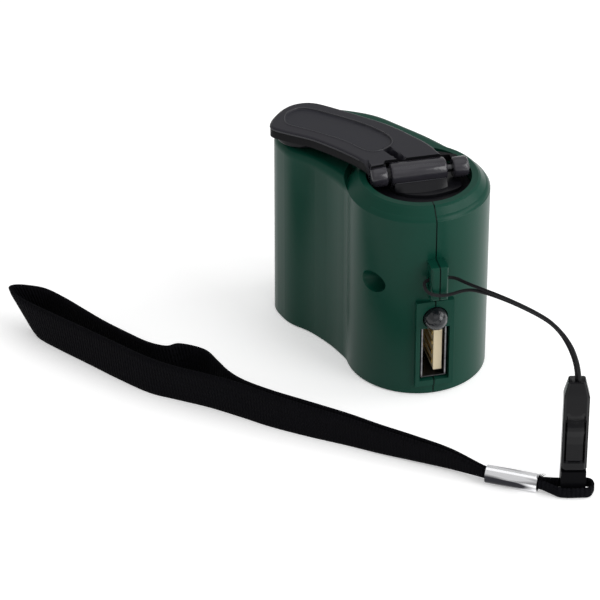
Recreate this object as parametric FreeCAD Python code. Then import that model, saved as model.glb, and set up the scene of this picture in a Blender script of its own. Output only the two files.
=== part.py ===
import FreeCAD, Part
import math
import os

# Hand crank phone charger, millimetres, +Z up, standing on z = 0.
# The crank axis is the Z axis; +X points along the body to the round lobe and
# the socket looks out of the lobe at NOSE_ANGLE from +X.

# Driving dimensions
BODY_HEIGHT = 45.0
WALL = 1.8
LOBE_RADIUS = 14.8
NOSE_ANGLE = -30.7
DECK_DROP = 1.4
BEVEL_HEIGHT = 2.7
RIM_SETBACK = 2.5
RIM_WIDTH = 1.33
WELL_DEPTH = 4.8

HINGE_RISE = 0.6
BARREL_RADIUS = 2.4
KNUCKLE_RADIUS = 2.2
KNUCKLE_LENGTH = 3.65
PIN_RADIUS = 0.8

ARM_RISE = 2.75
ARM_THICKNESS = 2.35
ARM_SKIN = 0.9
KNOB_RADIUS = 5.5
KNOB_PLACE = (-29.2, -5.4)
KNOB_GAP = 0.35

MODULE = 0.5
DRIVE_TEETH = 42
IDLER_PINION_TEETH = 12
IDLER_WHEEL_TEETH = 34
MOTOR_PINION_TEETH = 10
IDLER_ANGLE = 175.0
MOTOR_ANGLE = 181.0
SHAFT_RADIUS = 2.15
AXLE_RADIUS = 0.75
RUN_CLEARANCE = 0.05
TRAIN_HEIGHT = 8.7
PLATE_THICKNESS = 1.0

MOTOR_RADIUS = 9.0
MOTOR_SPACE = 3.853
MOTOR_FLAT = 7.2
MOTOR_BOTTOM = 6.5

SOCKET_HEIGHT = 12.5
SOCKET_WIDTH = 5.3
SOCKET_BOTTOM = 4.2
SOCKET_DEPTH = 13.6
PAD_RISE = 0.6
LAMP_RISE = 2.7
LAMP_RADIUS = 2.5

SCREW_SETBACK = 6.0
SCREW_RISE = 6.6
LUG_LENGTH = 3.6
LUG_HEIGHT = 8.0

CLIP_PLACE = (56.2, -11.75)
CLIP_TURN = 46.2
CLIP_TOP = 27.4
CORD_RADIUS = 0.45
WEB_THICKNESS = 0.9
WEB_WIDTH = 10.0

# Sizes that follow from them
DECK_HEIGHT = BODY_HEIGHT - DECK_DROP
RIM_OUTER = LOBE_RADIUS - RIM_SETBACK
WELL_RADIUS = RIM_OUTER - RIM_WIDTH
WELL_FLOOR = BODY_HEIGHT - WELL_DEPTH
WELL_CEILING = WELL_FLOOR - 1.4
HINGE_HEIGHT = BODY_HEIGHT + HINGE_RISE
KNUCKLE_END = WELL_RADIUS - 0.57
KNUCKLE_START = KNUCKLE_END - KNUCKLE_LENGTH
BARREL_LENGTH = 2 * (KNUCKLE_START - 0.15)
ARM_TOP = HINGE_HEIGHT + ARM_RISE
ARM_BOTTOM = ARM_TOP - ARM_THICKNESS
KNOB_BOTTOM = DECK_HEIGHT + KNOB_GAP
PLATE_BOTTOM = WELL_FLOOR - TRAIN_HEIGHT
PLATE_TOP = PLATE_BOTTOM + PLATE_THICKNESS
WHEEL_BOTTOM = PLATE_TOP + 0.4
PINION_BOTTOM = PLATE_TOP + 2.2
DRIVE_BOTTOM = PLATE_TOP + 3.1
PAD_REACH = LOBE_RADIUS + PAD_RISE
SHELL_FRONT = PAD_REACH - 0.9
SHELL_BACK = SHELL_FRONT - SOCKET_DEPTH
SOCKET_TOP = SOCKET_BOTTOM + SOCKET_HEIGHT
LAMP_HEIGHT = SOCKET_TOP + LAMP_RISE
SCREW_HEIGHT = LAMP_HEIGHT + SCREW_RISE
SCREW_ALONG = LOBE_RADIUS - SCREW_SETBACK
BOARD_TOP = SCREW_HEIGHT - 2.8
LUG_REACH = LOBE_RADIUS + LUG_LENGTH
LUG_BOTTOM = SCREW_HEIGHT - 0.6
LUG_TOP = LUG_BOTTOM + LUG_HEIGHT
CLIP_SHOULDER = CLIP_TOP - 3.6
CLIP_WINDOW = CLIP_TOP - 7.4
BUSH_RADIUS = SHAFT_RADIUS + 1.25
BOARD_FACE = 3.2
BOARD_BOTTOM = WALL + 1.4

V = FreeCAD.Vector
UP = V(0, 0, 1)


def stepped(start, angle, teeth_sum):
    reach = MODULE * teeth_sum / 2.0
    return (start[0] + reach * math.cos(math.radians(angle)),
            start[1] + reach * math.sin(math.radians(angle)))


IDLER_PLACE = stepped((0, 0), IDLER_ANGLE, DRIVE_TEETH + IDLER_PINION_TEETH)
MOTOR_PLACE = stepped(IDLER_PLACE, MOTOR_ANGLE, IDLER_WHEEL_TEETH + MOTOR_PINION_TEETH)
SCREW_SPOTS = [(MOTOR_PLACE[0] - 5.5, MOTOR_PLACE[1]), (MOTOR_PLACE[0], MOTOR_PLACE[1] - 5.5)]
FAR_END = MOTOR_PLACE[0] - MOTOR_RADIUS - MOTOR_SPACE


# Small helpers
def box(x0, y0, z0, x1, y1, z1):
    return Part.makeBox(x1 - x0, y1 - y0, z1 - z0, V(x0, y0, z0))


def rod(radius, z0, z1, x=0.0, y=0.0):
    return Part.makeCylinder(radius, z1 - z0, V(x, y, z0), UP)


def rod_between(radius, start, end):
    axis = end - start
    return Part.makeCylinder(radius, axis.Length, start, axis)


def turned(shape, angle, centre=(0, 0)):
    copy = shape.copy()
    copy.rotate(V(centre[0], centre[1], 0), UP, angle)
    return copy


def moved(shape, x, y, z=0.0):
    copy = shape.copy()
    copy.translate(V(x, y, z))
    return copy


def fuse(shapes):
    result = shapes[0]
    if len(shapes) > 1:
        result = shapes[0].multiFuse(shapes[1:])
    return result.removeSplitter()


def cut(shape, tools):
    for tool in tools:
        shape = shape.cut(tool)
    return shape.removeSplitter()


def prism(points, z0, z1):
    ring = [V(x, y, z0) for x, y in points]
    wire = Part.makePolygon(ring + [ring[0]])
    return Part.Face(wire).extrude(V(0, 0, z1 - z0))


def on_nose(shape):
    return turned(shape, NOSE_ANGLE)


def smooth_wire(points, z):
    return Part.Wire(Part.__sortEdges__(smooth_edges(points, z, True)))


def fillet_at(shape, radius, test):
    edges = [edge for edge in shape.Edges if test(edge)]
    return shape.makeFillet(radius, edges)


def level(edge, z):
    low = edge.BoundBox
    return abs(low.ZMin - z) < 1e-3 and abs(low.ZMax - z) < 1e-3


# Body outline seen from above: the round lobe, the waist in front, the blunt
# far end and the nearly straight back.
LOBE_START = -121.0
LOBE_END = 93.0
FRONT_AND_END = [
    (-12.4, -11.25), (-20.0, -10.5), (-28.6, -11.05), (FAR_END + 3.1, -8.7),
    (FAR_END, -1.8), (FAR_END + 2.3, 6.2), (FAR_END + 9.3, 11.6), (-15.0, 14.2),
]


def tangent_arcs(first, heading_in, last, heading_out, z):
    """Two arcs joining two points, smooth at both ends and in the middle."""
    span = (last[0] - first[0], last[1] - first[1])
    total = (heading_in[0] + heading_out[0], heading_in[1] + heading_out[1])
    along = span[0] * total[0] + span[1] * total[1]
    square = span[0] ** 2 + span[1] ** 2
    bend = 1 - heading_in[0] * heading_out[0] - heading_in[1] * heading_out[1]
    if bend < 1e-9:
        reach = square / (4 * (span[0] * heading_in[0] + span[1] * heading_in[1]))
    else:
        reach = (math.sqrt(along ** 2 + 2 * bend * square) - along) / (2 * bend)
    joint = ((first[0] + reach * heading_in[0] + last[0] - reach * heading_out[0]) / 2,
             (first[1] + reach * heading_in[1] + last[1] - reach * heading_out[1]) / 2)
    return [arc_from(first, heading_in, joint, z),
            arc_from(last, (-heading_out[0], -heading_out[1]), joint, z)]


def arc_from(start, heading, end, z):
    across = (end[0] - start[0], end[1] - start[1])
    side = heading[0] * across[1] - heading[1] * across[0]
    chord = math.hypot(*across)
    if abs(side) < 1e-6 * chord:
        return Part.makeLine(V(start[0], start[1], z), V(end[0], end[1], z))
    half = math.atan2(side, heading[0] * across[0] + heading[1] * across[1])
    sagitta = chord / 2 * math.tan(half / 2)
    middle = ((start[0] + end[0]) / 2 + across[1] / chord * sagitta,
              (start[1] + end[1]) / 2 - across[0] / chord * sagitta)
    return Part.Arc(V(start[0], start[1], z), V(middle[0], middle[1], z),
                    V(end[0], end[1], z)).toShape()


def smooth_edges(points, z, closed, first_heading=None, last_heading=None):
    count = len(points)
    headings = []
    for i in range(count):
        before = points[i - 1] if closed or i > 0 else points[i]
        after = points[(i + 1) % count] if closed or i < count - 1 else points[i]
        back = math.hypot(points[i][0] - before[0], points[i][1] - before[1]) or 1.0
        ahead = math.hypot(after[0] - points[i][0], after[1] - points[i][1]) or 1.0
        dx = ((points[i][0] - before[0]) / back ** 2 + (after[0] - points[i][0]) / ahead ** 2)
        dy = ((points[i][1] - before[1]) / back ** 2 + (after[1] - points[i][1]) / ahead ** 2)
        size = math.hypot(dx, dy)
        headings.append((dx / size, dy / size))
    if first_heading:
        headings[0] = first_heading
    if last_heading:
        headings[-1] = last_heading
    edges = []
    for i in range(count if closed else count - 1):
        j = (i + 1) % count
        edges += tangent_arcs(points[i], headings[i], points[j], headings[j], z)
    return edges


def outline_wire(z):
    start = math.radians(LOBE_START)
    end = math.radians(LOBE_END)
    first = (LOBE_RADIUS * math.cos(start), LOBE_RADIUS * math.sin(start))
    last = (LOBE_RADIUS * math.cos(end), LOBE_RADIUS * math.sin(end))
    edges = smooth_edges([first] + FRONT_AND_END + [last], z, False,
                         (math.sin(start), -math.cos(start)),
                         (math.sin(end), -math.cos(end)))
    lobe = Part.Arc(V(last[0], last[1], z), V(LOBE_RADIUS, 0, z),
                    V(first[0], first[1], z)).toShape()
    return Part.Wire(Part.__sortEdges__(edges + [lobe]))


def body_prism(z0, z1, inset=0.0):
    wire = outline_wire(z0)
    if inset:
        wire = wire.makeOffset2D(-inset)
    return Part.Face(wire).extrude(V(0, 0, z1 - z0))


def lobe_turned(profile):
    ring = [V(r, 0, z) for r, z in profile]
    wire = Part.makePolygon(ring + [ring[0]])
    return Part.Face(wire).revolve(V(0, 0, 0), UP, 360)


# Gears with involute flanks
def gear_points(teeth, phase_angle, slack=0.05):
    pitch = MODULE * teeth / 2.0
    tip = pitch + 0.8 * MODULE
    root = pitch - 1.05 * MODULE
    base = pitch * math.cos(math.radians(20))
    pitch_roll = math.tan(math.radians(20)) - math.radians(20)
    half = math.pi / (2 * teeth) - slack / pitch
    flank = []
    for radius in (max(base, root), (max(base, root) + tip) / 2, tip):
        pressure = math.acos(min(1.0, base / radius))
        swing = half + pitch_roll - (math.tan(pressure) - pressure)
        flank.append((radius, max(swing, 0.02)))
    points = []
    for tooth in range(teeth):
        middle = phase_angle + 2 * math.pi * tooth / teeth
        foot = flank[0][1] + 0.15 * MODULE / root
        row = [(root, -foot)]
        row += [(radius, -swing) for radius, swing in flank]
        row += [(radius, swing) for radius, swing in reversed(flank)]
        row += [(root, foot)]
        for radius, swing in row:
            angle = middle + swing
            points.append((radius * math.cos(angle), radius * math.sin(angle)))
    return points


def gear(teeth, phase_angle, z0, z1, place):
    points = [(x + place[0], y + place[1])
              for x, y in gear_points(teeth, phase_angle)]
    return prism(points, z0, z1)


# A round cord along straight runs joined by tangent arcs
def rounded_path(points):
    edges = []
    here = points[0]
    for i in range(1, len(points) - 1):
        before = points[i] - points[i - 1]
        after = points[i + 1] - points[i]
        turn = before.getAngle(after)
        if turn < 1e-3:
            continue
        reach = 0.45 * min(before.Length, after.Length)
        enter = points[i] - V(before).normalize() * reach
        leave = points[i] + V(after).normalize() * reach
        bulge = (V(after).normalize() - V(before).normalize()).normalize()
        radius = reach / math.tan(turn / 2)
        middle = points[i] + bulge * (radius / math.cos(turn / 2) - radius)
        edges.append(Part.makeLine(here, enter))
        edges.append(Part.Arc(enter, middle, leave).toShape())
        here = leave
    edges.append(Part.makeLine(here, points[-1]))
    return Part.Wire(edges)


def cord(points, radius, sides=8):
    """A cord of many sides, as thick as a round one of this radius."""
    heading = (points[1] - points[0]).normalize()
    across = heading.cross(V(0.3, 0.5, 0.8)).normalize()
    ring = [points[0] + FreeCAD.Rotation(heading, 360.0 * k / sides).multVec(across) * radius
            for k in range(sides)]
    profile = Part.makePolygon(ring + [ring[0]])
    return rounded_path(points).makePipeShell([profile], True, False)


def blended(points, steps):
    curve = Part.BSplineCurve()
    curve.interpolate(Points=[V(*p) for p in points])
    first = curve.FirstParameter
    last = curve.LastParameter
    return [curve.value(first + (last - first) * i / steps)
            for i in range(steps + 1)]


# Outer shape of the housing
def housing_outer():
    deck = body_prism(0, DECK_HEIGHT)
    deck = fillet_at(deck, 1.8, lambda edge: level(edge, DECK_HEIGHT))
    bevel = BODY_HEIGHT - BEVEL_HEIGHT
    crease = lobe_turned([(LOBE_RADIUS - 4, bevel), (LOBE_RADIUS + 0.02, bevel),
                          (LOBE_RADIUS + 1.6, BODY_HEIGHT), (LOBE_RADIUS - 4, BODY_HEIGHT)])
    deck = deck.cut(crease.common(box(-2 * LOBE_RADIUS, -2 * LOBE_RADIUS, 0, 0, -5.5, BODY_HEIGHT)))
    lobe = lobe_turned([(0, 0), (LOBE_RADIUS, 0), (LOBE_RADIUS, bevel),
                        (RIM_OUTER + 0.5, BODY_HEIGHT - 0.35),
                        (RIM_OUTER, BODY_HEIGHT), (0, BODY_HEIGHT)])
    pad = on_nose(box(8, -4.05, SOCKET_BOTTOM - 1.7, PAD_REACH, 4.0, LAMP_HEIGHT + 4.0))
    lug = box(LOBE_RADIUS - 2.8, -1.8, LUG_BOTTOM, LUG_REACH, 1.8, LUG_TOP)
    lug = fillet_at(lug, 0.6, lambda edge: edge.BoundBox.XMin > LUG_REACH - 0.1)
    solid = fuse([deck, lobe, pad, on_nose(lug)])
    foot = body_prism(0, 0.5).cut(body_prism(0, 0.5, 0.35))
    return solid.cut(foot.common(box(-60, -60, -1, 60, 60, 0.3)))


# Openings shared by both housing halves
def socket_opening():
    inside = PAD_REACH - 4.4
    outside = PAD_REACH + 5
    half = SOCKET_WIDTH / 2 + 0.5
    slot = box(inside, -half, SOCKET_BOTTOM - 0.3, outside, half, SOCKET_TOP + 0.3)
    lamp = rod_between(LAMP_RADIUS + 0.2, V(inside, 0, LAMP_HEIGHT), V(outside, 0, LAMP_HEIGHT))
    neck = box(inside, -1.6, SOCKET_TOP, outside, 1.6, LAMP_HEIGHT)
    return fuse([slot, lamp, neck])


def cord_hole():
    return box(LOBE_RADIUS + 0.25, -5, LUG_BOTTOM + 2.0, LOBE_RADIUS + 1.9, 5, LUG_TOP - 2.0)


def inner_space():
    low = body_prism(WALL, DECK_HEIGHT - WALL, WALL)
    well_part = rod(LOBE_RADIUS - WALL, WELL_CEILING, BODY_HEIGHT)
    space = low.cut(well_part)
    return space


def screw_axis(shape):
    return on_nose(moved(shape, SCREW_ALONG, 0, SCREW_HEIGHT))


def sideways(radius, y0, y1):
    return Part.makeCylinder(radius, y1 - y0, V(0, y0, 0), V(0, 1, 0))


SPLIT_NOSE = (60 * math.cos(math.radians(NOSE_ANGLE)),
              60 * math.sin(math.radians(NOSE_ANGLE)))
FRONT_HALF = prism([SPLIT_NOSE, (0, 0), (-60, 0), (-60, -60), (40, -90)], -5, 60)
OUTER = housing_outer()
SPACE = inner_space()


def housing_halves():
    well = fuse([rod(WELL_RADIUS, WELL_FLOOR, BODY_HEIGHT + 5),
                 rod(BUSH_RADIUS, PLATE_TOP, BODY_HEIGHT + 5)])
    groove = on_nose(box(0, -0.09, -1, 2 * LOBE_RADIUS, 0.09, BODY_HEIGHT + 5))
    groove_skin = groove.cut(body_prism(-2, BODY_HEIGHT - 0.4, 0.35))
    groove_skin = groove_skin.cut(rod(RIM_OUTER - 0.3, 0, BODY_HEIGHT + 5))
    groove_skin = groove_skin.cut(on_nose(box(LOBE_RADIUS - 1.8, -2, LUG_BOTTOM - 0.9,
                                              LUG_REACH - 0.3, 2, LUG_TOP + 0.6)))
    front_boss = screw_axis(sideways(3.3, -13.4, 0))
    rear_boss = screw_axis(sideways(2.6, 0, 13.4))
    bosses = fuse([front_boss, rear_boss]).common(OUTER)
    hole = screw_axis(fuse([sideways(2.4, -20, -7.2), sideways(1.2, -9, 0.1),
                            sideways(0.95, 0, 7.0)]))
    shelf = PLATE_BOTTOM - 1.8
    ledges = [
        box(-16.5, -11.5, shelf, -12.5, -7.3, PLATE_BOTTOM),
        box(FAR_END + 4.3, -11.5, shelf, FAR_END + 7.8, -6.5, PLATE_BOTTOM),
        box(-18.5, 10.3, shelf, -14.5, 15, PLATE_BOTTOM),
        box(FAR_END + 5.3, 8.3, shelf, FAR_END + 8.8, 13, PLATE_BOTTOM),
        on_nose(box(-2, 6.0, shelf, 2, LOBE_RADIUS - 0.8, PLATE_BOTTOM)),
        on_nose(box(-2, 0.8 - LOBE_RADIUS, shelf, 2, -6.0, PLATE_BOTTOM)),
        box(FAR_END + 4.8, -11.5, WALL / 2, FAR_END + 6.8, -3.0, MOTOR_BOTTOM),
        box(-18.5, -11.5, WALL / 2, -16.5, -3.0, MOTOR_BOTTOM),
        box(FAR_END + 4.8, 4.5, WALL / 2, FAR_END + 6.8, 12.5, MOTOR_BOTTOM),
        box(-18.5, 4.5, WALL / 2, -16.5, 14.5, MOTOR_BOTTOM),
        on_nose(box(-9.0, BOARD_FACE - 0.6, WALL / 2, LOBE_RADIUS - 2.8, BOARD_FACE + 2.0,
                    BOARD_BOTTOM)),
    ]
    ledges = [ledge.common(OUTER) for ledge in ledges]
    body = OUTER.cut(SPACE).cut(well)
    body = fuse([body, bosses] + ledges)
    body = body.cut(on_nose(socket_opening()))
    body = body.cut(on_nose(cord_hole()))
    body = body.cut(hole)
    body = body.cut(groove_skin)
    front = body.common(FRONT_HALF).removeSplitter()
    rear = body.cut(FRONT_HALF).removeSplitter()
    return front, rear


def housing_screw():
    head = sideways(2.2, -8.4, -7.2).cut(box(-1.5, -9, -0.3, 1.5, -8.0, 0.3))
    head = head.cut(box(-0.3, -9, -1.5, 0.3, -8.0, 1.5))
    shank = sideways(0.95, -7.2, 6.6)
    return screw_axis(fuse([head, shank]))


# Crank hub, its shaft and the drive wheel
def crank_hub():
    half = BARREL_LENGTH / 2
    top = WELL_FLOOR + 2.2
    disc = rod(WELL_RADIUS - 0.22, WELL_FLOOR + 0.1, top)
    lip = [(-3.6, -half), (2.2, 0.8 - half), (4.7, -3.2), (5.6, 0.5), (5.0, 5.0),
           (3.0, half + 1.6), (-3.0, half + 1.6)]
    boss = Part.Face(smooth_wire(lip, top)).extrude(V(0, 0, HINGE_HEIGHT - 2.4 - top))
    barrel = Part.makeCylinder(BARREL_RADIUS, BARREL_LENGTH, V(0, -half, HINGE_HEIGHT), V(0, 1, 0))
    foot = prism([(-2.2, -half), (3.4, 0.4 - half), (3.4, half - 0.4), (-2.2, half)],
                 HINGE_HEIGHT - 2.4, HINGE_HEIGHT - 1.3)
    hub = fuse([disc, boss, foot, barrel])
    bore = Part.makeCylinder(PIN_RADIUS, 2 * WELL_RADIUS, V(0, -WELL_RADIUS, HINGE_HEIGHT), V(0, 1, 0))
    hub = hub.cut(bore).cut(rod(SHAFT_RADIUS, WELL_CEILING, WELL_FLOOR + 1.8))
    return on_nose(hub)


def hinge_pin():
    pin = Part.makeCylinder(PIN_RADIUS, 2 * KNUCKLE_END - 0.8,
                            V(0, -KNUCKLE_END + 0.4, HINGE_HEIGHT), V(0, 1, 0))
    return on_nose(pin)


def crank_shaft():
    shaft = rod(SHAFT_RADIUS, PLATE_BOTTOM - 1.5, WELL_FLOOR + 1.8)
    return fuse([shaft, rod(SHAFT_RADIUS - 0.65, PLATE_BOTTOM - 2.9, PLATE_BOTTOM - 1.5)])


def drive_wheel():
    toward_idler = math.atan2(IDLER_PLACE[1], IDLER_PLACE[0])
    wheel = gear(DRIVE_TEETH, toward_idler, DRIVE_BOTTOM, DRIVE_BOTTOM + 1.8, (0, 0))
    collar = rod(SHAFT_RADIUS + 2.05, DRIVE_BOTTOM - 1.0, DRIVE_BOTTOM)
    return cut(fuse([wheel, collar]), [rod(SHAFT_RADIUS, PLATE_BOTTOM, WELL_FLOOR)])


def crank_bush():
    sleeve = fuse([rod(BUSH_RADIUS, WELL_CEILING, WELL_FLOOR),
                   rod(BUSH_RADIUS + 1.2, WELL_CEILING - 0.9, WELL_CEILING)])
    return sleeve.cut(rod(SHAFT_RADIUS + RUN_CLEARANCE, PLATE_BOTTOM, BODY_HEIGHT))


def shaft_clip():
    low = PLATE_BOTTOM - 1.1
    ring = rod(SHAFT_RADIUS + 0.85, low, low + 0.7).cut(rod(SHAFT_RADIUS, low - 1, low + 1))
    return ring.cut(box(0, -1.2, low - 1, SHAFT_RADIUS + 2, 1.2, low + 1))


# Folding arm: a shallow shell with an inlay on top and the knob underneath
def nose_point(x, y, z):
    angle = math.radians(NOSE_ANGLE)
    return V(x * math.cos(angle) - y * math.sin(angle),
             x * math.sin(angle) + y * math.cos(angle), z)


ARM_START = nose_point(0, 0.27 - KNUCKLE_END, 0)
ARM_END = nose_point(-1.55, KNUCKLE_START + 1.15, 0)
ARM_POINTS = [
    (ARM_START.x, ARM_START.y), (-7.4, -8.1), (-11.2, -8.5), (-17.0, -9.0), (-23.0, -10.4),
    (-29.6, -12.5), (-33.9, -10.2), (-35.4, -5.0), (-32.2, 1.0), (-24.0, 4.3), (-12.0, 6.3),
    (ARM_END.x, ARM_END.y),
]
INLAY_POINTS = [
    (-29.7, -9.9), (-31.9, -6.6), (-29.2, -2.1), (-22.1, 0.9), (-12.5, 2.4),
    (-8.0, 1.4), (-7.2, -1.9), (-9.0, -5.4), (-17.1, -6.9), (-25.3, -8.6),
]


SLOT_START = (-8.1, -1.9)


def arm_outline(z0, z1, inset=0.0):
    edges = smooth_edges(ARM_POINTS, z0, False)
    edges.append(Part.makeLine(V(*ARM_POINTS[-1], z0), V(*ARM_POINTS[0], z0)))
    wire = Part.Wire(Part.__sortEdges__(edges))
    if inset:
        wire = wire.makeOffset2D(-inset)
    return Part.Face(wire).extrude(V(0, 0, z1 - z0))


def hinge_side(shape):
    return on_nose(shape)


def crank_arm():
    bottom = ARM_BOTTOM
    plate = arm_outline(bottom, ARM_TOP)
    plate = fillet_at(plate, 0.4, lambda edge: level(edge, ARM_TOP) and edge.Length < 15)
    hollow = arm_outline(bottom - 1, ARM_TOP - ARM_SKIN, 1.4)
    hollow = hollow.cut(hinge_side(box(-9.5, -12, 0, 12, 12, 2 * ARM_TOP)))
    ribs = [
        rod(1.9, bottom, ARM_TOP - ARM_SKIN, *KNOB_PLACE),
        box(-21.4, -9, bottom, -20.4, 5, ARM_TOP - ARM_SKIN),
        box(-14.9, -8.5, bottom, -13.9, 5.8, ARM_TOP - ARM_SKIN),
    ]
    ribs = fuse(ribs).common(arm_outline(bottom, ARM_TOP))
    knuckles = [
        Part.makeCylinder(KNUCKLE_RADIUS, KNUCKLE_END - KNUCKLE_START,
                          V(0, side, HINGE_HEIGHT), V(0, 1, 0))
        for side in (KNUCKLE_START, -KNUCKLE_END)
    ]
    webs = [box(-3.4, KNUCKLE_START, bottom, 0, KNUCKLE_START + 1.85, ARM_TOP - 0.25),
            box(-3.4, -KNUCKLE_END + 0.2, bottom, 0, -KNUCKLE_START, ARM_TOP - 0.25)]
    notch = hinge_side(box(-2.55, -KNUCKLE_START, 0, 12, KNUCKLE_START, 2 * ARM_TOP))
    past = hinge_side(box(0, -20, 0, 14, 20, 2 * ARM_TOP))
    slot = turned(box(0, -0.5, ARM_TOP - 1.1, 6.0, 0.5, 2 * ARM_TOP), -10.0)
    slot = moved(slot, *SLOT_START)
    body = plate.cut(hollow).cut(past)
    body = fuse([body, ribs, hinge_side(fuse(knuckles + webs))])
    seat = Part.Face(smooth_wire(INLAY_POINTS, ARM_TOP - 0.4)).extrude(V(0, 0, 2))
    bore = hinge_side(Part.makeCylinder(PIN_RADIUS + RUN_CLEARANCE, 30,
                                        V(0, -15, HINGE_HEIGHT), V(0, 1, 0)))
    body = body.cut(notch).cut(slot).cut(seat).cut(bore)
    return body.cut(rod(1.0, KNOB_BOTTOM, ARM_TOP - 0.5, *KNOB_PLACE)).removeSplitter()


def arm_inlay():
    wire = smooth_wire(INLAY_POINTS, ARM_TOP - 0.4).makeOffset2D(-0.12)
    return Part.Face(wire).extrude(V(0, 0, 0.3))


def knob():
    disc = rod(KNOB_RADIUS, KNOB_BOTTOM, ARM_BOTTOM - 0.15, *KNOB_PLACE)
    disc = fillet_at(disc, 0.4, lambda edge: level(edge, KNOB_BOTTOM))
    dish = Part.makeSphere(13.0, V(KNOB_PLACE[0], KNOB_PLACE[1], KNOB_BOTTOM - 12.4))
    core = rod(1.0 + RUN_CLEARANCE, 0, ARM_TOP, *KNOB_PLACE)
    head = rod(2.1, 0, KNOB_BOTTOM + 1.05, *KNOB_PLACE)
    return disc.cut(dish).cut(core).cut(head)


def knob_rivet():
    stem = rod(1.0, KNOB_BOTTOM + 0.35, ARM_TOP - 0.5, *KNOB_PLACE)
    head = rod(1.9, KNOB_BOTTOM + 0.3, KNOB_BOTTOM + 1.0, *KNOB_PLACE)
    return fuse([stem, head])


# Gear train and generator
def gear_plate():
    left = FAR_END
    outline = [(7.5, -2.5), (7.5, 2.5), (3.5, 8.6), (-3.5, 9.8), (-14.4, 11.2),
               (-18.4, 11.0), (left + 9.7, 9.0), (left + 6.1, 7.0), (left + 3.9, 3.6),
               (left + 3.9, -4.0), (left + 5.5, -7.6), (left + 7.7, -7.8), (-16.4, -8.3),
               (-12.6, -8.3), (-6.0, -8.6), (1.5, -8.6)]
    plate = prism(outline, PLATE_BOTTOM, PLATE_TOP)
    holes = [
        rod(SHAFT_RADIUS + RUN_CLEARANCE, PLATE_BOTTOM - 1, PLATE_TOP + 1),
        rod(2.6, PLATE_BOTTOM - 1, PLATE_TOP + 1, *MOTOR_PLACE),
        rod(AXLE_RADIUS, PLATE_BOTTOM - 1, PLATE_TOP + 1, *IDLER_PLACE),
    ]
    for x, y in SCREW_SPOTS:
        holes.append(rod(0.8, PLATE_BOTTOM - 1, PLATE_TOP + 1, x, y))
    return cut(plate, holes)


def motor_screws():
    bodies = []
    for x, y in SCREW_SPOTS:
        head = rod(1.4, PLATE_TOP, PLATE_TOP + 0.55, x, y)
        stem = rod(0.8, PLATE_BOTTOM - 0.8, PLATE_TOP, x, y)
        bodies.append(fuse([head, stem]))
    return bodies


def idler_axle():
    pin = rod(AXLE_RADIUS, PLATE_BOTTOM, PLATE_TOP + 6.15, *IDLER_PLACE)
    head = rod(AXLE_RADIUS + 0.55, PLATE_BOTTOM - 0.3, PLATE_BOTTOM, *IDLER_PLACE)
    return fuse([pin, head])


def idler_gears():
    toward_crank = math.atan2(-IDLER_PLACE[1], -IDLER_PLACE[0])
    gap = toward_crank + math.pi / IDLER_PINION_TEETH
    pinion = gear(IDLER_PINION_TEETH, gap, PINION_BOTTOM, PINION_BOTTOM + 3.1, IDLER_PLACE)
    toward_motor = math.atan2(MOTOR_PLACE[1] - IDLER_PLACE[1],
                              MOTOR_PLACE[0] - IDLER_PLACE[0])
    wheel = gear(IDLER_WHEEL_TEETH, toward_motor, WHEEL_BOTTOM, PINION_BOTTOM, IDLER_PLACE)
    bore = rod(AXLE_RADIUS + RUN_CLEARANCE, PLATE_BOTTOM, WELL_FLOOR, *IDLER_PLACE)
    return cut(fuse([pinion, wheel]), [bore])


def axle_cap():
    low = PLATE_TOP + 5.45
    bore = rod(AXLE_RADIUS, PLATE_TOP, WELL_FLOOR, *IDLER_PLACE)
    return rod(AXLE_RADIUS + 0.85, low, low + 0.65, *IDLER_PLACE).cut(bore)


def motor_can():
    top = PLATE_BOTTOM
    can = rod(MOTOR_RADIUS, MOTOR_BOTTOM + 1.6, top, *MOTOR_PLACE)
    flats = box(-60, MOTOR_PLACE[1] - MOTOR_FLAT, 0, 0, MOTOR_PLACE[1] + MOTOR_FLAT, 60)
    can = can.common(flats)
    inner = rod(MOTOR_RADIUS - 0.7, MOTOR_BOTTOM, top - 0.8, *MOTOR_PLACE)
    inner_flats = box(-60, MOTOR_PLACE[1] - MOTOR_FLAT + 0.7, 0, 0,
                      MOTOR_PLACE[1] + MOTOR_FLAT - 0.7, 60)
    can = can.cut(inner.common(inner_flats))
    holes = [rod(1.0 + RUN_CLEARANCE, MOTOR_BOTTOM, top + 1, *MOTOR_PLACE)]
    for x, y in SCREW_SPOTS:
        holes.append(rod(0.8, MOTOR_BOTTOM, top + 1, x, y))
    return cut(can, holes)


def motor_cap():
    cap = rod(MOTOR_RADIUS, MOTOR_BOTTOM, MOTOR_BOTTOM + 1.6, *MOTOR_PLACE)
    flats = box(-60, MOTOR_PLACE[1] - MOTOR_FLAT, 0, 0, MOTOR_PLACE[1] + MOTOR_FLAT, 60)
    cap = cap.common(flats)
    tabs = []
    for side in (-1, 1):
        x = MOTOR_PLACE[0] + side * 5.3
        y = MOTOR_PLACE[1]
        tabs.append(box(x - 0.3, y - 0.6, MOTOR_BOTTOM - 1.9, x + 0.3, y + 0.6, MOTOR_BOTTOM))
    bore = rod(1.0 + RUN_CLEARANCE, 0, PLATE_BOTTOM, *MOTOR_PLACE)
    return cut(fuse([cap] + tabs), [bore])


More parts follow.
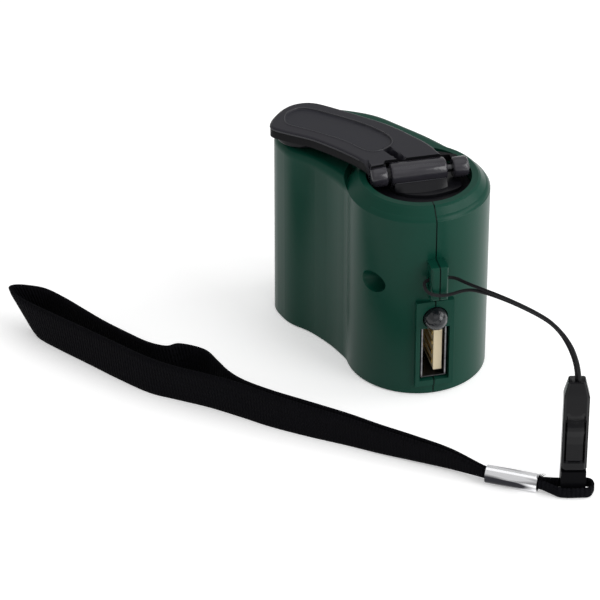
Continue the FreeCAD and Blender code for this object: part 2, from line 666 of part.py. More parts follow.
def motor_rotor():
    shaft = rod(1.0, MOTOR_BOTTOM - 1.0, PLATE_TOP + 2.9, *MOTOR_PLACE)
    low = MOTOR_BOTTOM + 5.5
    high = PLATE_BOTTOM - 5.5
    arms = []
    for k in range(3):
        arm = box(0, -1.4, low, 5.8, 1.4, high)
        shoe = rod(6.1, low, high).cut(rod(5.1, low, high))
        wedge = prism([(0, 0), (12, -8.5), (12, 8.5)], low, high)
        arms.append(turned(fuse([arm, shoe.common(wedge)]), 120 * k))
    core = fuse(arms + [rod(2.4, low - 2.0, high + 1.5)]).cut(rod(1.0, 0, BODY_HEIGHT))
    return shaft, moved(core, *MOTOR_PLACE)


def motor_pinion():
    toward_idler = math.atan2(IDLER_PLACE[1] - MOTOR_PLACE[1],
                              IDLER_PLACE[0] - MOTOR_PLACE[0])
    gap = toward_idler + math.pi / MOTOR_PINION_TEETH
    wheel = gear(MOTOR_PINION_TEETH, gap, PLATE_TOP + 0.2, PLATE_TOP + 2.6, MOTOR_PLACE)
    return wheel.cut(rod(1.0, PLATE_BOTTOM, WELL_FLOOR, *MOTOR_PLACE))


# Circuit board, socket and lamp, drawn facing +X and then turned to the nose
def circuit_board():
    far = LOBE_RADIUS - WALL - 1.4
    return on_nose(box(-8.5, BOARD_FACE, BOARD_BOTTOM, far, BOARD_FACE + 1.0, BOARD_TOP))


def usb_shell():
    half = SOCKET_WIDTH / 2
    shell = box(SHELL_BACK, -half, SOCKET_BOTTOM, SHELL_FRONT, half, SOCKET_TOP)
    inner = box(SHELL_BACK + 0.3, -half + 0.3, SOCKET_BOTTOM + 0.3,
                SHELL_FRONT + 1, half - 0.3, SOCKET_TOP - 0.3)
    foot = SHELL_BACK + 1.2
    lugs = [box(foot, half, z, foot + 1.0, BOARD_FACE, z + 2.0)
            for z in (SOCKET_BOTTOM + 0.8, SOCKET_TOP - 2.9)]
    return on_nose(fuse([shell.cut(inner)] + lugs))


def contact_heights():
    middle = (SOCKET_BOTTOM + SOCKET_TOP) / 2
    pitch = SOCKET_HEIGHT * 0.187
    return [middle + (k - 1.5) * pitch for k in range(4)]


def usb_tongue():
    half = SOCKET_WIDTH / 2
    back = SHELL_BACK + 0.3
    block = box(back, -half + 0.3, SOCKET_BOTTOM + 0.3, back + 3.0,
                half - 0.3, SOCKET_TOP - 0.3)
    blade = box(back + 3.0, 0.15, SOCKET_BOTTOM + 1.15, PAD_REACH - 1.6, 1.95, SOCKET_TOP - 1.15)
    tongue = fuse([block, blade])
    for z in contact_heights():
        tongue = tongue.cut(box(back + 3.0, 0.0, z - 0.45, PAD_REACH - 2.4, 0.3, z + 0.45))
    return on_nose(tongue)


def usb_contacts():
    back = SHELL_BACK + 0.3
    strips = []
    for z in contact_heights():
        strip = box(back + 3.0, -0.05, z - 0.45, PAD_REACH - 2.4, 0.3, z + 0.45)
        strips.append(on_nose(strip))
    return strips


def led_lamp():
    middle = PAD_REACH + 0.2
    foot = PAD_REACH - 6.0
    dome = Part.makeSphere(LAMP_RADIUS, V(middle, 0, LAMP_HEIGHT))
    barrel = rod_between(LAMP_RADIUS, V(foot + 0.8, 0, LAMP_HEIGHT), V(middle, 0, LAMP_HEIGHT))
    flange = rod_between(LAMP_RADIUS + 0.15, V(foot, 0, LAMP_HEIGHT), V(foot + 1.0, 0, LAMP_HEIGHT))
    return on_nose(fuse([dome, barrel, flange]))


def led_leads():
    wires = []
    foot = PAD_REACH - 6.0
    for z in (LAMP_HEIGHT - 1.0, LAMP_HEIGHT + 1.0):
        route = [V(foot, 0, z), V(foot - 2.0, 0, z), V(foot - 2.0, BOARD_FACE, z)]
        wires.append(on_nose(cord(route, 0.25, 6)))
    return wires


def capacitor():
    can = Part.makeCylinder(2.4, 6.0, V(-5.2, BOARD_FACE - 6.0, 10.5), V(0, 1, 0))
    can = fillet_at(can, 0.4, lambda edge: edge.BoundBox.YMax < BOARD_FACE - 5.9)
    return on_nose(can)


def board_chips():
    chip_end = PAD_REACH - 13.9
    chip = box(chip_end - 5.0, BOARD_FACE - 1.5, BOARD_TOP - 5.7, chip_end, BOARD_FACE,
               BOARD_TOP - 1.7)
    diode = box(-7.8, BOARD_FACE - 1.6, 5.0, -4.2, BOARD_FACE, 7.2)
    coil = Part.makeCylinder(2.0, 2.6, V(PAD_REACH - 11.2, BOARD_FACE - 2.6, BOARD_TOP - 2.0), V(0, 1, 0))
    return [on_nose(chip), on_nose(diode), on_nose(coil)]


def motor_leads():
    low = MOTOR_BOTTOM - 1.4
    wires = []
    for side, high in ((1, 13.0), (-1, 15.6)):
        goal = nose_point(-8.1, BOARD_FACE, high)
        near = nose_point(-8.1, BOARD_FACE - 2.0, high)
        start = V(MOTOR_PLACE[0] + side * 5.62, MOTOR_PLACE[1], low)
        if side > 0:
            route = [start, start + V(5.6, 0.3, 0), V(-12.2, 2.2, high), near, goal]
        else:
            route = [start, start + V(-1.6, 0, 0), V(-31.4, -2.4, 3.0), V(-22.0, -2.6, 3.0),
                     V(-12.6, -0.6, 3.4), V(-11.0, 0.4, high), near, goal]
        wires.append(cord(route, 0.4, 6))
    return wires


# Tether, quick-release clip and wrist strap
def clip_frame(shape):
    return moved(turned(shape, CLIP_TURN), *CLIP_PLACE)


def front_prism(points, y0, y1):
    ring = [V(x, y0, z) for x, z in points]
    wire = Part.makePolygon(ring + [ring[0]])
    return Part.Face(wire).extrude(V(0, y1 - y0, 0))


def clip_housing():
    body = front_prism([(-1.7, CLIP_TOP), (-2.6, CLIP_SHOULDER), (-2.6, 6.3),
                        (2.6, 6.3), (2.6, CLIP_SHOULDER), (1.7, CLIP_TOP)], -1.7, 1.7)
    window = box(-1.95, -3, 8.6, 1.95, 1.25, CLIP_WINDOW)
    channel = box(-1.4, -1.25, 5.0, 1.4, 1.25, CLIP_WINDOW)
    recess = box(-2.0, -3, CLIP_WINDOW - 2.2, 2.0, -1.1, CLIP_WINDOW)
    groove = box(-0.15, -3, CLIP_WINDOW + 0.6, 0.15, -1.5, CLIP_TOP - 1.0)
    cord_bore = rod(1.3, CLIP_TOP - 3.0, CLIP_TOP + 1, 0.2, -0.2)
    solid = cut(body, [window, channel, recess, groove, cord_bore])
    high = CLIP_WINDOW - 2.7
    lever = front_prism([(-1.6, 8.4), (-1.5, 10.5), (-1.0, high - 3.2), (-1.5, high),
                         (1.5, high), (1.0, high - 3.2), (1.5, 10.5), (1.6, 8.4)], -1.75, -1.25)
    crest = Part.makeCylinder(0.85, 2.8, V(-1.4, -1.55, high - 0.9), V(1, 0, 0))
    crest = crest.common(box(-2, -3, 0, 2, -1.25, CLIP_TOP))
    return clip_frame(fuse([solid, lever, crest]))


def clip_tongue():
    stem = box(-1.3, -1.15, 5.5, 1.3, 1.15, 9.4)
    tip = CLIP_WINDOW - 1.1
    blade = front_prism([(-1.3, 9.4), (-1.3, tip - 2.4), (-0.8, tip), (0.8, tip),
                         (1.3, tip - 2.4), (1.3, 9.4)], -1.15, 1.15)
    slit = box(-0.35, -2, 9.6, 0.35, 2, 14.0)
    block = box(-2.55, -1.75, 0.15, 2.55, 1.75, 5.8)
    eye = box(-4, -0.62, 0.75, 4, 0.92, 4.95)
    return clip_frame(cut(fuse([stem, blade, block]), [slit, eye]))


def band(points, thickness, heights, floors):
    sections = []
    count = len(points)
    for i in range(count):
        before = points[max(i - 1, 0)]
        after = points[min(i + 1, count - 1)]
        along = V(after.x - before.x, after.y - before.y, 0).normalize()
        side = V(-along.y, along.x, 0) * (thickness / 2)
        low = V(points[i].x, points[i].y, floors[i])
        high = V(points[i].x, points[i].y, floors[i] + heights[i])
        ring = [low - side, low + side, high + side, high - side]
        sections.append(Part.makePolygon(ring + [ring[0]]))
    return Part.makeLoft(sections, True, True)


def strap_end_loop():
    ring = [(-8.4, 0.54), (-6.6, 0.56), (-3.4, 0.25), (0.0, 0.17), (2.6, 0.3), (3.7, -0.2),
            (3.95, -1.2), (3.3, -2.15), (1.8, -2.45), (-2.2, -2.45), (-4.4, -1.5),
            (-6.6, -0.58), (-8.4, -0.54)]
    points = blended([(x, y, 0) for x, y in ring], 44)
    heights = []
    floors = []
    for point in points:
        lowered = min(max((-point.y - 0.8) / 1.2, 0.0), 1.0)
        heights.append(2.0 + 0.2 * lowered)
        floors.append(0.97 - 0.75 * lowered)
    return clip_frame(band(points, 0.8, heights, floors))


FERRULE_START = V(51.5, -16.75, 1.95)
FERRULE_END = V(42.0, -21.85, 1.95)


def strap_ferrule():
    tube = rod_between(1.9, FERRULE_START, FERRULE_END)
    bore = rod_between(1.55, FERRULE_START, FERRULE_END)
    return tube.cut(bore)


FRONT_LEG = [
    (43.68, -21.6), (41.4, -22.83), (34.5, -25.4), (26.9, -28.6), (20.5, -31.3), (13.8, -33.9),
    (5.4, -37.6), (-2.0, -40.6), (-8.5, -42.6), (-15.8, -45.0), (-22.6, -47.8),
    (-28.4, -50.2), (-36.4, -51.8), (-45.0, -52.8), (-53.2, -53.6), (-60.6, -54.5),
    (-66.8, -54.6), (-71.6, -53.0), (-74.0, -50.8),
]
BACK_LEG = [
    (-73.4, -48.9), (-70.0, -48.5), (-64.0, -48.7), (-57.0, -48.3), (-50.0, -48.1), (-43.5, -47.8),
    (-37.0, -47.0), (-31.6, -45.4), (-27.6, -42.6), (-23.6, -40.6), (-19.0, -40.0), (-13.8, -40.6),
    (-8.6, -40.9), (-2.6, -39.4), (4.6, -36.2), (13.0, -32.5), (19.8, -29.9), (26.3, -27.2),
    (33.9, -24.1), (40.85, -21.82), (43.14, -20.58),
]


def wrist_strap():
    route = [(x, y, 0) for x, y in FRONT_LEG + BACK_LEG]
    points = blended(route, 120)
    heights = []
    floors = []
    for point in points:
        grip = min(max((point.x - 4.0) / 36.0, 0.0), 1.0)
        heights.append(WEB_WIDTH * (1 - grip) + 2.0 * grip)
        floors.append(0.05 + 0.9 * grip)
    return band(points, WEB_THICKNESS, heights, floors)


TETHER_RUN = [
    (56.5, -11.8, CLIP_TOP - 2.2), (56.5, -11.8, CLIP_TOP + 0.8), (55.5, -11.6, CLIP_TOP + 3.8),
    (53.4, -11.2, CLIP_TOP + 6.3), (49.7, -10.55, CLIP_TOP + 7.7), (44.9, -9.67, 35.3),
    (33.2, -7.53, 32.9), (19.4, -5.0, LUG_BOTTOM + 3.5),
]


def tether_strand(offset):
    points = [V(*p) for p in TETHER_RUN]
    result = []
    for i, point in enumerate(points):
        before = points[max(i - 1, 0)]
        after = points[min(i + 1, len(points) - 1)]
        along = (after - before).normalize()
        sideways_axis = V(0.173, 0.985, 0)
        normal = along.cross(sideways_axis).normalize()
        result.append(point + normal * offset)
    return result


def tether_cord():
    outer = tether_strand(-0.52)
    inner = tether_strand(0.52)
    hole = LOBE_RADIUS + 1.1
    tip = LUG_REACH + 0.8
    middle = LUG_BOTTOM + 4.0
    around = [
        nose_point(hole, 3.4, middle), nose_point(hole - 0.03, 0.0, middle),
        nose_point(hole, -2.6, middle - 0.1), nose_point(hole + 1.3, -3.1, middle - 0.8),
        nose_point(tip - 0.2, -2.4, middle - 1.5), nose_point(tip, 0.0, middle - 2.1),
        nose_point(tip - 0.1, 2.6, middle - 2.1),
    ]
    route = outer + around + list(reversed(inner))
    return cord(route, CORD_RADIUS)


# Write every piece
def main():
    os.makedirs("parts", exist_ok=True)
    front, rear = housing_halves()
    shaft, core = motor_rotor()
    screws = motor_screws()
    contacts = usb_contacts()
    leads = led_leads()
    chips = board_chips()
    wires = motor_leads()
    pieces = {
        "front_shell": front,
        "rear_shell": rear,
        "housing_screw": housing_screw(),
        "crank_hub": crank_hub(),
        "hinge_pin": hinge_pin(),
        "crank_shaft": crank_shaft(),
        "crank_bush": crank_bush(),
        "shaft_clip": shaft_clip(),
        "drive_wheel": drive_wheel(),
        "crank_arm": crank_arm(),
        "arm_inlay": arm_inlay(),
        "knob": knob(),
        "knob_rivet": knob_rivet(),
        "gear_plate": gear_plate(),
        "idler_axle": idler_axle(),
        "idler_gears": idler_gears(),
        "axle_cap": axle_cap(),
        "motor_screws": Part.makeCompound(screws),
        "motor_can": motor_can(),
        "motor_cap": motor_cap(),
        "motor_shaft": shaft,
        "motor_core": core,
        "motor_pinion": motor_pinion(),
        "circuit_board": circuit_board(),
        "usb_shell": usb_shell(),
        "usb_tongue": usb_tongue(),
        "usb_contacts": Part.makeCompound(contacts),
        "led_lamp": led_lamp(),
        "led_leads": Part.makeCompound(leads),
        "capacitor": capacitor(),
        "board_chips": Part.makeCompound(chips),
        "motor_leads": Part.makeCompound(wires),
        "tether_cord": tether_cord(),
        "clip_housing": clip_housing(),
        "clip_tongue": clip_tongue(),
        "strap_end_loop": strap_end_loop(),
        "strap_ferrule": strap_ferrule(),
        "wrist_strap": wrist_strap(),
    }
    for name, shape in pieces.items():
        shape.exportStep(os.path.join("parts", name + ".step"))


main()
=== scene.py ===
import math

import bmesh
import bpy
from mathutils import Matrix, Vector


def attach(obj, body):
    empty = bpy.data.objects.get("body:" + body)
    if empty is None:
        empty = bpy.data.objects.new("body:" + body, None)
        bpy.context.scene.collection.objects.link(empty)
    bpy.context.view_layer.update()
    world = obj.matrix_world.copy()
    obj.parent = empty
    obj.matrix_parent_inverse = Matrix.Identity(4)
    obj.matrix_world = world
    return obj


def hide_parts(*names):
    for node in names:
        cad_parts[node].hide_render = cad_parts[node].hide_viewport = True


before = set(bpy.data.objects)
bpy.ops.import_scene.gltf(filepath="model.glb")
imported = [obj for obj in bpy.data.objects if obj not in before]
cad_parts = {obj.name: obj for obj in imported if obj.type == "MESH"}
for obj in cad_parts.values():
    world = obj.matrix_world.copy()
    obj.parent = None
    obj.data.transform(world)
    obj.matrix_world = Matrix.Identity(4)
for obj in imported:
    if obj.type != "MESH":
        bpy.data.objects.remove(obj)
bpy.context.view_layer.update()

# Directions seen from above: the round end's nose, the buckle and the ferrule
NOSE = math.radians(-30.7)
CLIP_TURN = math.radians(46.2)
FERRULE_TURN = math.atan2(5.1, 9.5)


# Node materials
def new_material(name):
    mat = bpy.data.materials.new(name)
    mat.use_nodes = True
    nodes = mat.node_tree.nodes
    nodes.clear()
    out = nodes.new("ShaderNodeOutputMaterial")
    shader = nodes.new("ShaderNodeBsdfPrincipled")
    mat.node_tree.links.new(shader.outputs["BSDF"], out.inputs["Surface"])
    return mat, nodes, mat.node_tree.links, shader


def math_node(nodes, links, operation, *inputs):
    """A maths node fed by numbers and sockets."""
    node = nodes.new("ShaderNodeMath")
    node.operation = operation
    for socket, value in zip(node.inputs, inputs):
        if isinstance(value, (int, float)):
            socket.default_value = value
        else:
            links.new(value, socket)
    return node.outputs[0]


def map_range(nodes, links, source, before, after):
    node = nodes.new("ShaderNodeMapRange")
    node.inputs["From Min"].default_value = before[0]
    node.inputs["From Max"].default_value = before[1]
    node.inputs["To Min"].default_value = after[0]
    node.inputs["To Max"].default_value = after[1]
    links.new(source, node.inputs["Value"])
    return node.outputs["Result"]


def mapped(nodes, links, source, setting, value):
    node = nodes.new("ShaderNodeMapping")
    node.inputs[setting].default_value = value
    links.new(source, node.inputs["Vector"])
    return node.outputs["Vector"]


def spot_colours(nodes, links, shader, vector, scale, low, high, detail=6.0):
    noise = nodes.new("ShaderNodeTexNoise")
    noise.inputs["Scale"].default_value = scale
    noise.inputs["Detail"].default_value = detail
    noise.inputs["Roughness"].default_value = 0.6
    links.new(vector, noise.inputs["Vector"])
    ramp = nodes.new("ShaderNodeValToRGB")
    ramp.color_ramp.elements[0].position = 0.3
    ramp.color_ramp.elements[0].color = (*low, 1)
    ramp.color_ramp.elements[1].position = 0.7
    ramp.color_ramp.elements[1].color = (*high, 1)
    links.new(noise.outputs["Fac"], ramp.inputs["Fac"])
    links.new(ramp.outputs["Color"], shader.inputs["Base Color"])
    return noise


def rough_range(nodes, links, shader, source, low, high):
    rough = map_range(nodes, links, source, (0.25, 0.75), (low, high))
    links.new(rough, shader.inputs["Roughness"])


def grain_bump(nodes, links, shader, source, strength, distance):
    bump = nodes.new("ShaderNodeBump")
    bump.inputs["Strength"].default_value = strength
    bump.inputs["Distance"].default_value = distance
    links.new(source, bump.inputs["Height"])
    links.new(bump.outputs["Normal"], shader.inputs["Normal"])


def moulded(name, low, high, rough=(0.3, 0.42), grain=2600, strength=0.25,
            distance=0.00002, specular=0.5, coat=0.0, metallic=0.0):
    mat, nodes, links, shader = new_material(name)
    place = nodes.new("ShaderNodeTexCoord")
    broad = spot_colours(nodes, links, shader, place.outputs["Object"], 55, low, high)
    rough_range(nodes, links, shader, broad.outputs["Fac"], *rough)
    fine = nodes.new("ShaderNodeTexNoise")
    fine.inputs["Scale"].default_value = grain
    fine.inputs["Detail"].default_value = 3
    links.new(place.outputs["Object"], fine.inputs["Vector"])
    grain_bump(nodes, links, shader, fine.outputs["Fac"], strength, distance)
    shader.inputs["Specular IOR Level"].default_value = specular
    shader.inputs["Coat Weight"].default_value = coat
    shader.inputs["Metallic"].default_value = metallic
    return mat


def brushed(name, low, high, rough, stretch=(40, 40, 1600), strength=0.15):
    mat, nodes, links, shader = new_material(name)
    place = nodes.new("ShaderNodeTexCoord")
    spread = mapped(nodes, links, place.outputs["Object"], "Scale", stretch)
    streak = spot_colours(nodes, links, shader, spread, 1.0, low, high)
    rough_range(nodes, links, shader, streak.outputs["Fac"], *rough)
    grain_bump(nodes, links, shader, streak.outputs["Fac"], strength, 0.00001)
    shader.inputs["Metallic"].default_value = 1.0
    return mat


def streaked(name, angle):
    """Bright rolled metal, with long streaks along the tube: rolling lines in it, and its
    near-black and near-white colours are painted reflection.
    """
    mat, nodes, links, shader = new_material(name)
    place = nodes.new("ShaderNodeTexCoord")
    turned = mapped(nodes, links, place.outputs["Object"], "Rotation", (0, 0, -angle))
    spread = mapped(nodes, links, turned, "Scale", (50, 520, 520))
    # Streak colours from near black to near white: painted reflection, over rolling lines
    marks_and_reflection = spot_colours(nodes, links, shader, spread, 1.0,
                         (0.03, 0.03, 0.035), (0.92, 0.92, 0.94), 2.0)
    ramp = shader.inputs["Base Color"].links[0].from_node
    ramp.color_ramp.elements[0].position = 0.42
    ramp.color_ramp.elements[1].position = 0.52
    marks_and_reflection.inputs["Roughness"].default_value = 0.4
    rough_range(nodes, links, shader, marks_and_reflection.outputs["Fac"], 0.08, 0.2)
    grain_bump(nodes, links, shader, marks_and_reflection.outputs["Fac"], 0.35, 0.00006)
    shader.inputs["Metallic"].default_value = 1.0
    return mat


def woven(name, low, high, across, along, strength=0.9, distance=0.00012):
    """Webbing: ribs across the band and fine yarns along it, laid on the piece's own UVs."""
    mat, nodes, links, shader = new_material(name)
    place = nodes.new("ShaderNodeTexCoord")
    parts = nodes.new("ShaderNodeSeparateXYZ")
    links.new(place.outputs["UV"], parts.inputs["Vector"])

    def wave(source, count):
        turn = math_node(nodes, links, "MULTIPLY", source, count * 2 * math.pi)
        return math_node(nodes, links, "SINE", turn)

    ribs = wave(parts.outputs["X"], along)
    yarns = wave(parts.outputs["Y"], across)
    both = math_node(nodes, links, "MULTIPLY", ribs, yarns)
    weave = math_node(nodes, links, "MULTIPLY_ADD", both, 0.6, ribs)
    fuzz = spot_colours(nodes, links, shader, place.outputs["Object"], 900, low, high)
    rough_range(nodes, links, shader, fuzz.outputs["Fac"], 0.75, 0.95)
    total = math_node(nodes, links, "MULTIPLY_ADD", fuzz.outputs["Fac"], 0.8, weave)
    grain_bump(nodes, links, shader, total, strength, distance)
    shader.inputs["Specular IOR Level"].default_value = 0.05
    return mat


def dark_line(mat, angle, width):
    """Shade on a parting line that runs from the crank's axis along an angle."""
    nodes = mat.node_tree.nodes
    links = mat.node_tree.links
    shader = next(n for n in nodes if n.type == "BSDF_PRINCIPLED")
    before = shader.inputs["Base Color"].links[0].from_socket
    place = nodes.new("ShaderNodeTexCoord")
    turned = mapped(nodes, links, place.outputs["Object"], "Rotation", (0, 0, -angle))
    parts = nodes.new("ShaderNodeSeparateXYZ")
    links.new(turned, parts.inputs["Vector"])
    away = math_node(nodes, links, "ABSOLUTE", parts.outputs["Y"])
    behind = math_node(nodes, links, "LESS_THAN", parts.outputs["X"], 0.0)
    both = math_node(nodes, links, "ADD", behind, away)
    shade = map_range(nodes, links, both, (width * 0.5, width), (0.12, 1.0))
    mix = nodes.new("ShaderNodeMix")
    mix.data_type = "RGBA"
    mix.blend_type = "MULTIPLY"
    mix.inputs["Factor"].default_value = 1.0
    links.new(before, mix.inputs["A"])
    links.new(shade, mix.inputs["B"])
    links.new(mix.outputs["Result"], shader.inputs["Base Color"])


green = moulded("moulded_green", (0.0026, 0.040, 0.025), (0.0032, 0.046, 0.030),
                rough=(0.28, 0.36), grain=3200, strength=0.15, specular=0.14)
dark_line(green, NOSE, 0.00018)
dark_line(green, math.pi, 0.00014)
black = moulded("moulded_black", (0.0045, 0.0045, 0.006), (0.007, 0.007, 0.009),
                rough=(0.26, 0.38), grain=2400, strength=0.3, specular=0.2)
arm_black = moulded("arm_black", (0.009, 0.009, 0.014), (0.013, 0.012, 0.018),
                    rough=(0.38, 0.5), grain=3000, strength=0.3, specular=0.3)
inlay_black = moulded("inlay_black", (0.011, 0.011, 0.016), (0.015, 0.015, 0.022),
                      rough=(0.42, 0.55), grain=3600, strength=0.3, specular=0.3)
# Darker copy of the arm's black for its flanks, underside and side blocks: painted shade
shaded_skirt_black = moulded("shaded_skirt_black", (0.003, 0.003, 0.004), (0.005, 0.005, 0.006),
                      rough=(0.4, 0.55), grain=3000, strength=0.3, specular=0.12)
# Glossier black for the hinge barrel and knuckles; its lighter colour is painted sheen
sheen_lit_gloss_black = moulded("sheen_lit_gloss_black", (0.014, 0.013, 0.018), (0.036, 0.034, 0.042),
                      rough=(0.14, 0.32), grain=520, strength=0.5, distance=0.00012,
                      specular=0.5)
gloss_clip = moulded("gloss_clip", (0.003, 0.003, 0.004), (0.005, 0.005, 0.006),
                     rough=(0.16, 0.3), grain=1400, strength=0.3, distance=0.00004, specular=0.16)
eye_black = moulded("eye_black", (0.0025, 0.0025, 0.003), (0.004, 0.004, 0.005),
                    rough=(0.2, 0.34), grain=1400, strength=0.3, specular=0.03)
# Lighter black for thin beads on edges: painted highlight lines
painted_highlight_black = moulded("painted_highlight_black", (0.014, 0.014, 0.018), (0.03, 0.03, 0.036),
                     rough=(0.25, 0.4), grain=1500, strength=0.3, specular=0.5)
nylon = moulded("white_nylon", (0.62, 0.61, 0.56), (0.72, 0.71, 0.66), rough=(0.45, 0.6))
ivory = moulded("ivory_plastic", (0.62, 0.52, 0.33), (0.74, 0.64, 0.44), rough=(0.35, 0.5))
board = moulded("board_green", (0.01, 0.10, 0.03), (0.015, 0.15, 0.05), rough=(0.3, 0.4))
component = moulded("component_black", (0.015, 0.015, 0.02), (0.03, 0.03, 0.04))
wire = moulded("wire_red", (0.35, 0.01, 0.008), (0.45, 0.02, 0.012), rough=(0.3, 0.4))
steel = brushed("steel", (0.42, 0.42, 0.44), (0.62, 0.62, 0.64), (0.22, 0.38))
rolled = streaked("rolled_tube", FERRULE_TURN)
brass = brushed("brass", (0.55, 0.38, 0.12), (0.75, 0.56, 0.22), (0.2, 0.35))
# The LED's clear dome, coloured near black: painted shade for the dark inside seen through it
shaded_bead_glass = moulded("shaded_lens_glass", (0.004, 0.005, 0.006), (0.016, 0.018, 0.022),
                     rough=(0.02, 0.08), grain=700, strength=0.9, distance=0.0003, specular=0.4,
                     coat=0.15)
# Darkened steel for the hinge pin: painted shade in the hinge's gaps
shaded_pin_steel = brushed("shaded_pin_steel", (0.015, 0.015, 0.015), (0.16, 0.16, 0.17), (0.1, 0.25))
# Darkened metal for the USB shell: painted shade and painted reflection of its dark surroundings
tin = brushed("tin", (0.10, 0.10, 0.11), (0.30, 0.30, 0.31), (0.25, 0.4))
webbing = woven("webbing", (0.0014, 0.0013, 0.002), (0.0042, 0.004, 0.0055), 7, 330)
loop_web = woven("loop_webbing", (0.002, 0.002, 0.003), (0.006, 0.006, 0.008), 4, 30)
cord_black = moulded("cord_black", (0.006, 0.006, 0.007), (0.014, 0.014, 0.016),
                     rough=(0.55, 0.8), grain=1800, strength=0.8, distance=0.00008,
                     specular=0.2)

BY_NODE = {
    "front_shell": green, "rear_shell": green, "housing_screw": steel,
    "crank_hub": black, "hinge_pin": shaded_pin_steel, "crank_shaft": steel,
    "crank_bush": nylon, "shaft_clip": steel, "drive_wheel": nylon,
    "crank_arm": arm_black, "arm_inlay": inlay_black, "knob": black,
    "knob_rivet": steel, "gear_plate": steel, "idler_axle": steel,
    "idler_gears": nylon, "axle_cap": brass, "motor_screws": steel,
    "motor_can": steel, "motor_cap": component, "motor_shaft": steel,
    "motor_core": steel, "motor_pinion": brass, "circuit_board": board,
    "usb_shell": tin, "usb_tongue": ivory, "usb_contacts": brass,
    "led_lamp": shaded_bead_glass, "led_leads": steel, "capacitor": component,
    "board_chips": component, "motor_leads": wire, "tether_cord": cord_black,
    "clip_housing": black, "clip_tongue": eye_black, "strap_end_loop": loop_web,
    "strap_ferrule": rolled, "wrist_strap": webbing,
}
for node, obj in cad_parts.items():
    obj.data.materials.clear()
    obj.data.materials.append(BY_NODE[node])


# Camera at the photograph's view
def aimed(direction):
    return Vector(direction).to_track_quat("-Z", "Y").to_euler()


camera_data = bpy.data.cameras.new("camera")
camera_data.lens = 226.58
camera_data.sensor_width = 36.0
camera_data.clip_end = 10
camera = bpy.data.objects.new("camera", camera_data)
bpy.context.scene.collection.objects.link(camera)
camera.location = (0.46122, -0.47597, 0.45363)
camera.rotation_euler = aimed((-0.60144, 0.57645, -0.55315))
bpy.context.scene.camera = camera


# Floor, world and lights
def lamp(name, place, size, power):
    data = bpy.data.lights.new(name, "AREA")
    data.shape = "RECTANGLE"
    data.size = size[0]
    data.size_y = size[1]
    data.energy = power
    obj = bpy.data.objects.new(name, data)
    bpy.context.scene.collection.objects.link(obj)
    obj.location = place
    obj.rotation_euler = aimed(Vector(LAMP_TARGET) - Vector(place))


LAMP_TARGET = (0, 0, 0.025)
lamp("right", (0.65, 0.15, 0.35), (0.35, 0.5), 2.4)
lamp("right_back", (0.45, 0.55, 0.45), (0.4, 0.4), 1.4)
lamp("front", (0.45, -0.45, 0.75), (0.5, 0.5), 0.3)
lamp("top", (0.0, 0.1, 0.9), (0.7, 0.7), 0.75)

world = bpy.data.worlds.new("studio")
bpy.context.scene.world = world
world.use_nodes = True
world.node_tree.nodes["Background"].inputs["Color"].default_value = (1, 1, 1, 1)
world.node_tree.nodes["Background"].inputs["Strength"].default_value = 0.62

FLOOR_WHITENING = 0.3
floor_mesh = bpy.data.meshes.new("floor")
floor_mesh.from_pydata([(-3, -3, 0), (3, -3, 0), (3, 3, 0), (-3, 3, 0)], [], [(0, 1, 2, 3)])
floor = bpy.data.objects.new("floor", floor_mesh)
bpy.context.scene.collection.objects.link(floor)
floor.location.z = -0.00002
floor_mat, floor_nodes, floor_links, floor_shader = new_material("floor")
floor_shader.inputs["Base Color"].default_value = (0.95, 0.95, 0.95, 1)
floor_shader.inputs["Roughness"].default_value = 0.9
floor_shader.inputs["Emission Color"].default_value = (1, 1, 1, 1)
path = floor_nodes.new("ShaderNodeLightPath")
seen = math_node(floor_nodes, floor_links, "ADD", path.outputs["Is Camera Ray"],
                 path.outputs["Is Glossy Ray"])
seen = math_node(floor_nodes, floor_links, "ADD", seen, path.outputs["Is Transmission Ray"])
share = math_node(floor_nodes, floor_links, "MULTIPLY", seen, FLOOR_WHITENING)
floor_links.new(share, floor_shader.inputs["Emission Strength"])
floor.data.materials.append(floor_mat)
bpy.context.scene.view_settings.view_transform = "Standard"


# Tether: one thin cord, doubled, looped round the lug; its route in metres
TETHER = [
    (0.05701, -0.01189, 0.02520), (0.05700, -0.01189, 0.02829),
    (0.05594, -0.01168, 0.03146), (0.05368, -0.01125, 0.03413),
    (0.04979, -0.01057, 0.03561), (0.04483, -0.00966, 0.03582),
    (0.03308, -0.00751, 0.03340), (0.01926, -0.00498, 0.02940),
    (0.01541, -0.00519, 0.02940), (0.01365, -0.00810, 0.02940),
    (0.01234, -0.01035, 0.02930), (0.01321, -0.01145, 0.02860),
    (0.01511, -0.01176, 0.02790), (0.01651, -0.00990, 0.02730),
    (0.01790, -0.00830, 0.02760), (0.01960, -0.00640, 0.02860),
    (0.02240, -0.00550, 0.02960), (0.03332, -0.00715, 0.03275),
    (0.04497, -0.00930, 0.03515), (0.04961, -0.01010, 0.03470), (0.05312, -0.01115, 0.03327),
    (0.05506, -0.01152, 0.03094), (0.05600, -0.01171, 0.02811),
    (0.05599, -0.01171, 0.02520),
]


def thin_cord(name, points, radius, material):
    data = bpy.data.curves.new(name, "CURVE")
    data.dimensions = "3D"
    data.bevel_depth = radius
    data.bevel_resolution = 4
    data.use_fill_caps = True
    spline = data.splines.new("NURBS")
    spline.points.add(len(points) - 1)
    for point, place in zip(spline.points, points):
        point.co = (*place, 1.0)
    spline.order_u = 3
    spline.use_endpoint_u = True
    spline.resolution_u = 8
    data.materials.append(material)
    obj = bpy.data.objects.new(name, data)
    bpy.context.scene.collection.objects.link(obj)
    return obj


tether = thin_cord("tether", TETHER, 0.00035, cord_black)
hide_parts("tether_cord")
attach(tether, "housing")


